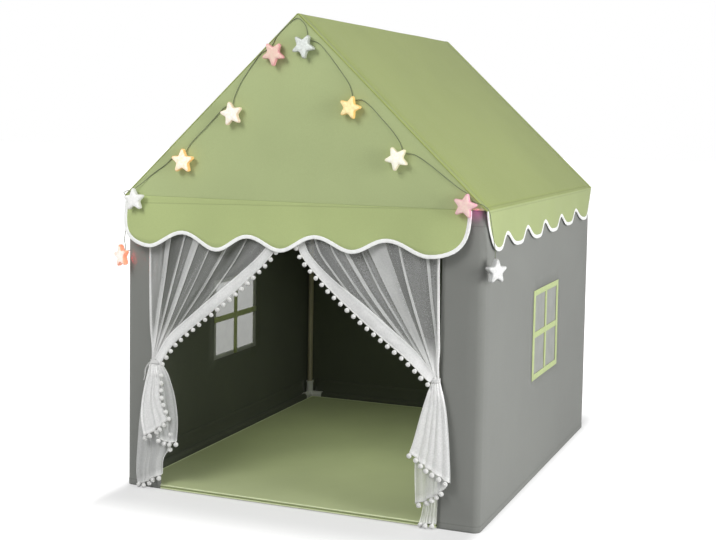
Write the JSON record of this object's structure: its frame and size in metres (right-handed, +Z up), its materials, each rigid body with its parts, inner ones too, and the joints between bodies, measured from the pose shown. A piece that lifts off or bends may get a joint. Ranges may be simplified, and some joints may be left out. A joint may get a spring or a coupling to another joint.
{
  "type": "kids play tent",
  "caption": "House-shaped children's play tent: cloth cover on a pole frame with tied-back curtains, mesh windows, scalloped eaves, floor mat and a string of star lights.",
  "frame": {"origin": "on the floor in the middle of the tent", "axes": "+Z up; -Y out of the door at the front; +X to the right seen from the front"},
  "size_m": [1.1662, 1.3551, 1.36],
  "materials": {
    "pole_wood": "smooth bare pine",
    "corner_plastic": "moulded, slightly shiny",
    "wall_cloth": "matt woven polyester",
    "roof_cloth": "matt woven polyester",
    "window_cloth": "woven tape with mesh between",
    "sheer": "thin see-through voile",
    "ribbon": "satin ribbon",
    "padding": "matt, lightly padded",
    "star_lamp": "frosted, lit from inside",
    "wire_sleeve": "thin soft sleeve",
    "box_plastic": "fine moulded texture",
    "switch_plastic": "fine moulded texture"
  },
  "bodies": {
    "tent": {"post_front_left": "pole_wood", "rafter_front_left": "pole_wood", "base_connector_front_left": "corner_plastic", "eave_connector_front_left": "corner_plastic", "post_front_right": "pole_wood", "rafter_front_right": "pole_wood", "base_connector_front_right": "corner_plastic", "eave_connector_front_right": "corner_plastic", "post_back_left": "pole_wood", "rafter_back_left": "pole_wood", "base_connector_back_left": "corner_plastic", "eave_connector_back_left": "corner_plastic", "post_back_right": "pole_wood", "rafter_back_right": "pole_wood", "base_connector_back_right": "corner_plastic", "eave_connector_back_right": "corner_plastic", "base_rail_left": "pole_wood", "base_rail_right": "pole_wood", "base_rail_back": "pole_wood", "eave_rail_left": "pole_wood", "eave_rail_right": "pole_wood", "eave_rail_back": "pole_wood", "eave_rail_front": "pole_wood", "ridge_pole": "pole_wood", "ridge_connector_front": "corner_plastic", "ridge_connector_back": "corner_plastic", "wall_left": "wall_cloth", "wall_right": "wall_cloth", "wall_back": "wall_cloth", "wall_front": "wall_cloth", "roof_panel": "roof_cloth", "gable_front": "roof_cloth", "gable_back": "roof_cloth", "valance_front": "roof_cloth", "valance_back": "roof_cloth", "valance_left": "roof_cloth", "valance_right": "roof_cloth", "window_left": "window_cloth", "window_right": "window_cloth", "curtain_left_fan": "sheer", "curtain_right_fan": "sheer", "tie_left": "ribbon", "tie_right": "ribbon", "star_1": "star_lamp", "star_2": "star_lamp", "star_3": "star_lamp", "star_4": "star_lamp", "star_5": "star_lamp", "star_6": "star_lamp", "star_7": "star_lamp", "star_8": "star_lamp", "star_9": "star_lamp", "star_10": "star_lamp", "light_wire": "wire_sleeve", "battery_box": "box_plastic"},
    "left_tail": {"curtain_left_tail": "sheer"},
    "right_tail": {"curtain_right_tail": "sheer"},
    "mat": {"floor_mat": "padding"},
    "lid": {"battery_lid": "box_plastic"},
    "switch": {"battery_switch": "switch_plastic"}
  },
  "joints": [
    {"name": "left_curtain_swing", "type": "hinge", "parent": "tent", "child": "left_tail", "pos_m": [-0.431, -0.6561, 0.374], "axis": [-1, 0, 0], "range_deg": [0, 25]},
    {"name": "right_curtain_swing", "type": "hinge", "parent": "tent", "child": "right_tail", "pos_m": [0.4125, -0.6561, 0.398], "axis": [-1, 0, 0], "range_deg": [0, 25]},
    {"name": "mat_lift", "type": "slide", "parent": "tent", "child": "mat", "axis": [0, 0, 1], "range_m": [0, 0.3]},
    {"name": "battery_lid_slide", "type": "slide", "parent": "tent", "child": "lid", "axis": [0, 0, -1], "range_m": [0, 0.054]},
    {"name": "battery_switch_slide", "type": "slide", "parent": "tent", "child": "switch", "axis": [0, 1, 0], "range_m": [0, 0.003]}
  ]
}
